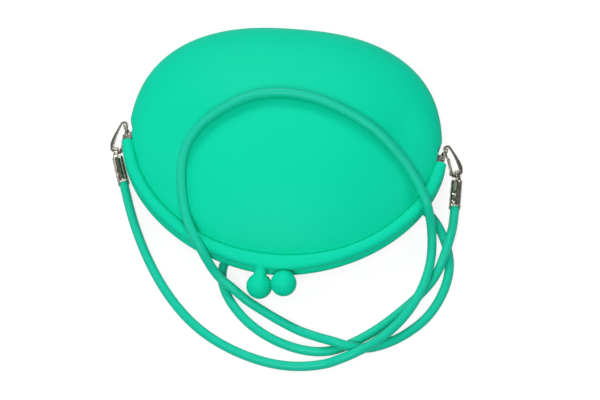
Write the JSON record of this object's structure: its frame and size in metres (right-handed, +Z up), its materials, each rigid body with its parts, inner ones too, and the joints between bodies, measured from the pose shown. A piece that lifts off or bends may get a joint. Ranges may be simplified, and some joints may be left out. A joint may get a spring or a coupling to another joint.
{
  "type": "coin purse",
  "caption": "Soft silicone coin purse with a hinged kiss-lock frame and a long detachable round strap on snap hooks, lying on its back",
  "frame": {"origin": "on the table, under the middle of the purse without its strap and clips", "axes": "+Z up from the table through the lying purse, -Y towards the mouth and its ball clasp, +X along the frame's hinge axis"},
  "size_m": [0.2265, 0.2304, 0.0523],
  "materials": {
    "green_silicone": "satin matte moulded silicone",
    "green_cord": "smooth satin",
    "plated_steel": "plain plated",
    "nickel": "polished nickel"
  },
  "bodies": {
    "back_half": {"pouch_skin": "green_silicone", "back_rim": "green_silicone", "back_frame_half": "plated_steel", "back_knob_core": "plated_steel", "left_hinge_rivet": "nickel", "right_hinge_rivet": "nickel", "left_strap_lug": "nickel", "right_strap_lug": "nickel", "strap_left_end": "green_cord", "strap_front_loop": "green_cord", "strap_front_rise": "green_cord", "strap_over_pouch": "green_cord", "strap_back_loop": "green_cord", "strap_right_end": "green_cord"},
    "front_half": {"front_rim": "green_silicone", "front_frame_half": "plated_steel", "front_knob_core": "plated_steel"},
    "left_clip": {"left_snap_hook": "nickel", "left_crimp_end": "nickel"},
    "right_clip": {"right_snap_hook": "nickel", "right_crimp_end": "nickel"},
    "left_gate": {"left_hook_gate": "nickel"},
    "right_gate": {"right_hook_gate": "nickel"}
  },
  "joints": [
    {"name": "frame_hinge", "type": "hinge", "parent": "back_half", "child": "front_half", "pos_m": [0, 0.0092, 0.0155], "axis": [-1, 0, 0], "range_deg": [0, 90], "deforming": ["pouch_skin", "strap_front_rise", "strap_over_pouch", "strap_back_loop"]},
    {"name": "left_clip_swing", "type": "hinge", "parent": "back_half", "child": "left_clip", "pos_m": [-0.10361, 0.01581, 0.0158], "axis": [0, 0, 1], "range_deg": [-40, 2], "deforming": ["strap_left_end"]},
    {"name": "right_clip_swing", "type": "hinge", "parent": "back_half", "child": "right_clip", "pos_m": [0.10361, 0.01581, 0.0158], "axis": [0, 0, 1], "range_deg": [-15, 40], "deforming": ["strap_right_end"]},
    {"name": "left_gate_pivot", "type": "hinge", "parent": "left_clip", "child": "left_gate", "pos_m": [-0.10414, 0.00317, 0.00671], "axis": [-0.1847, -0.5684, 0.8017], "range_deg": [0, 15], "stiffness_Nm_per_rad": 0.01, "springref_deg": -5.73},
    {"name": "right_gate_pivot", "type": "hinge", "parent": "right_clip", "child": "right_gate", "pos_m": [0.1074, 0.00374, 0.00671], "axis": [-0.3255, 0.5013, -0.8017], "range_deg": [0, 15], "stiffness_Nm_per_rad": 0.01, "springref_deg": -5.73}
  ]
}
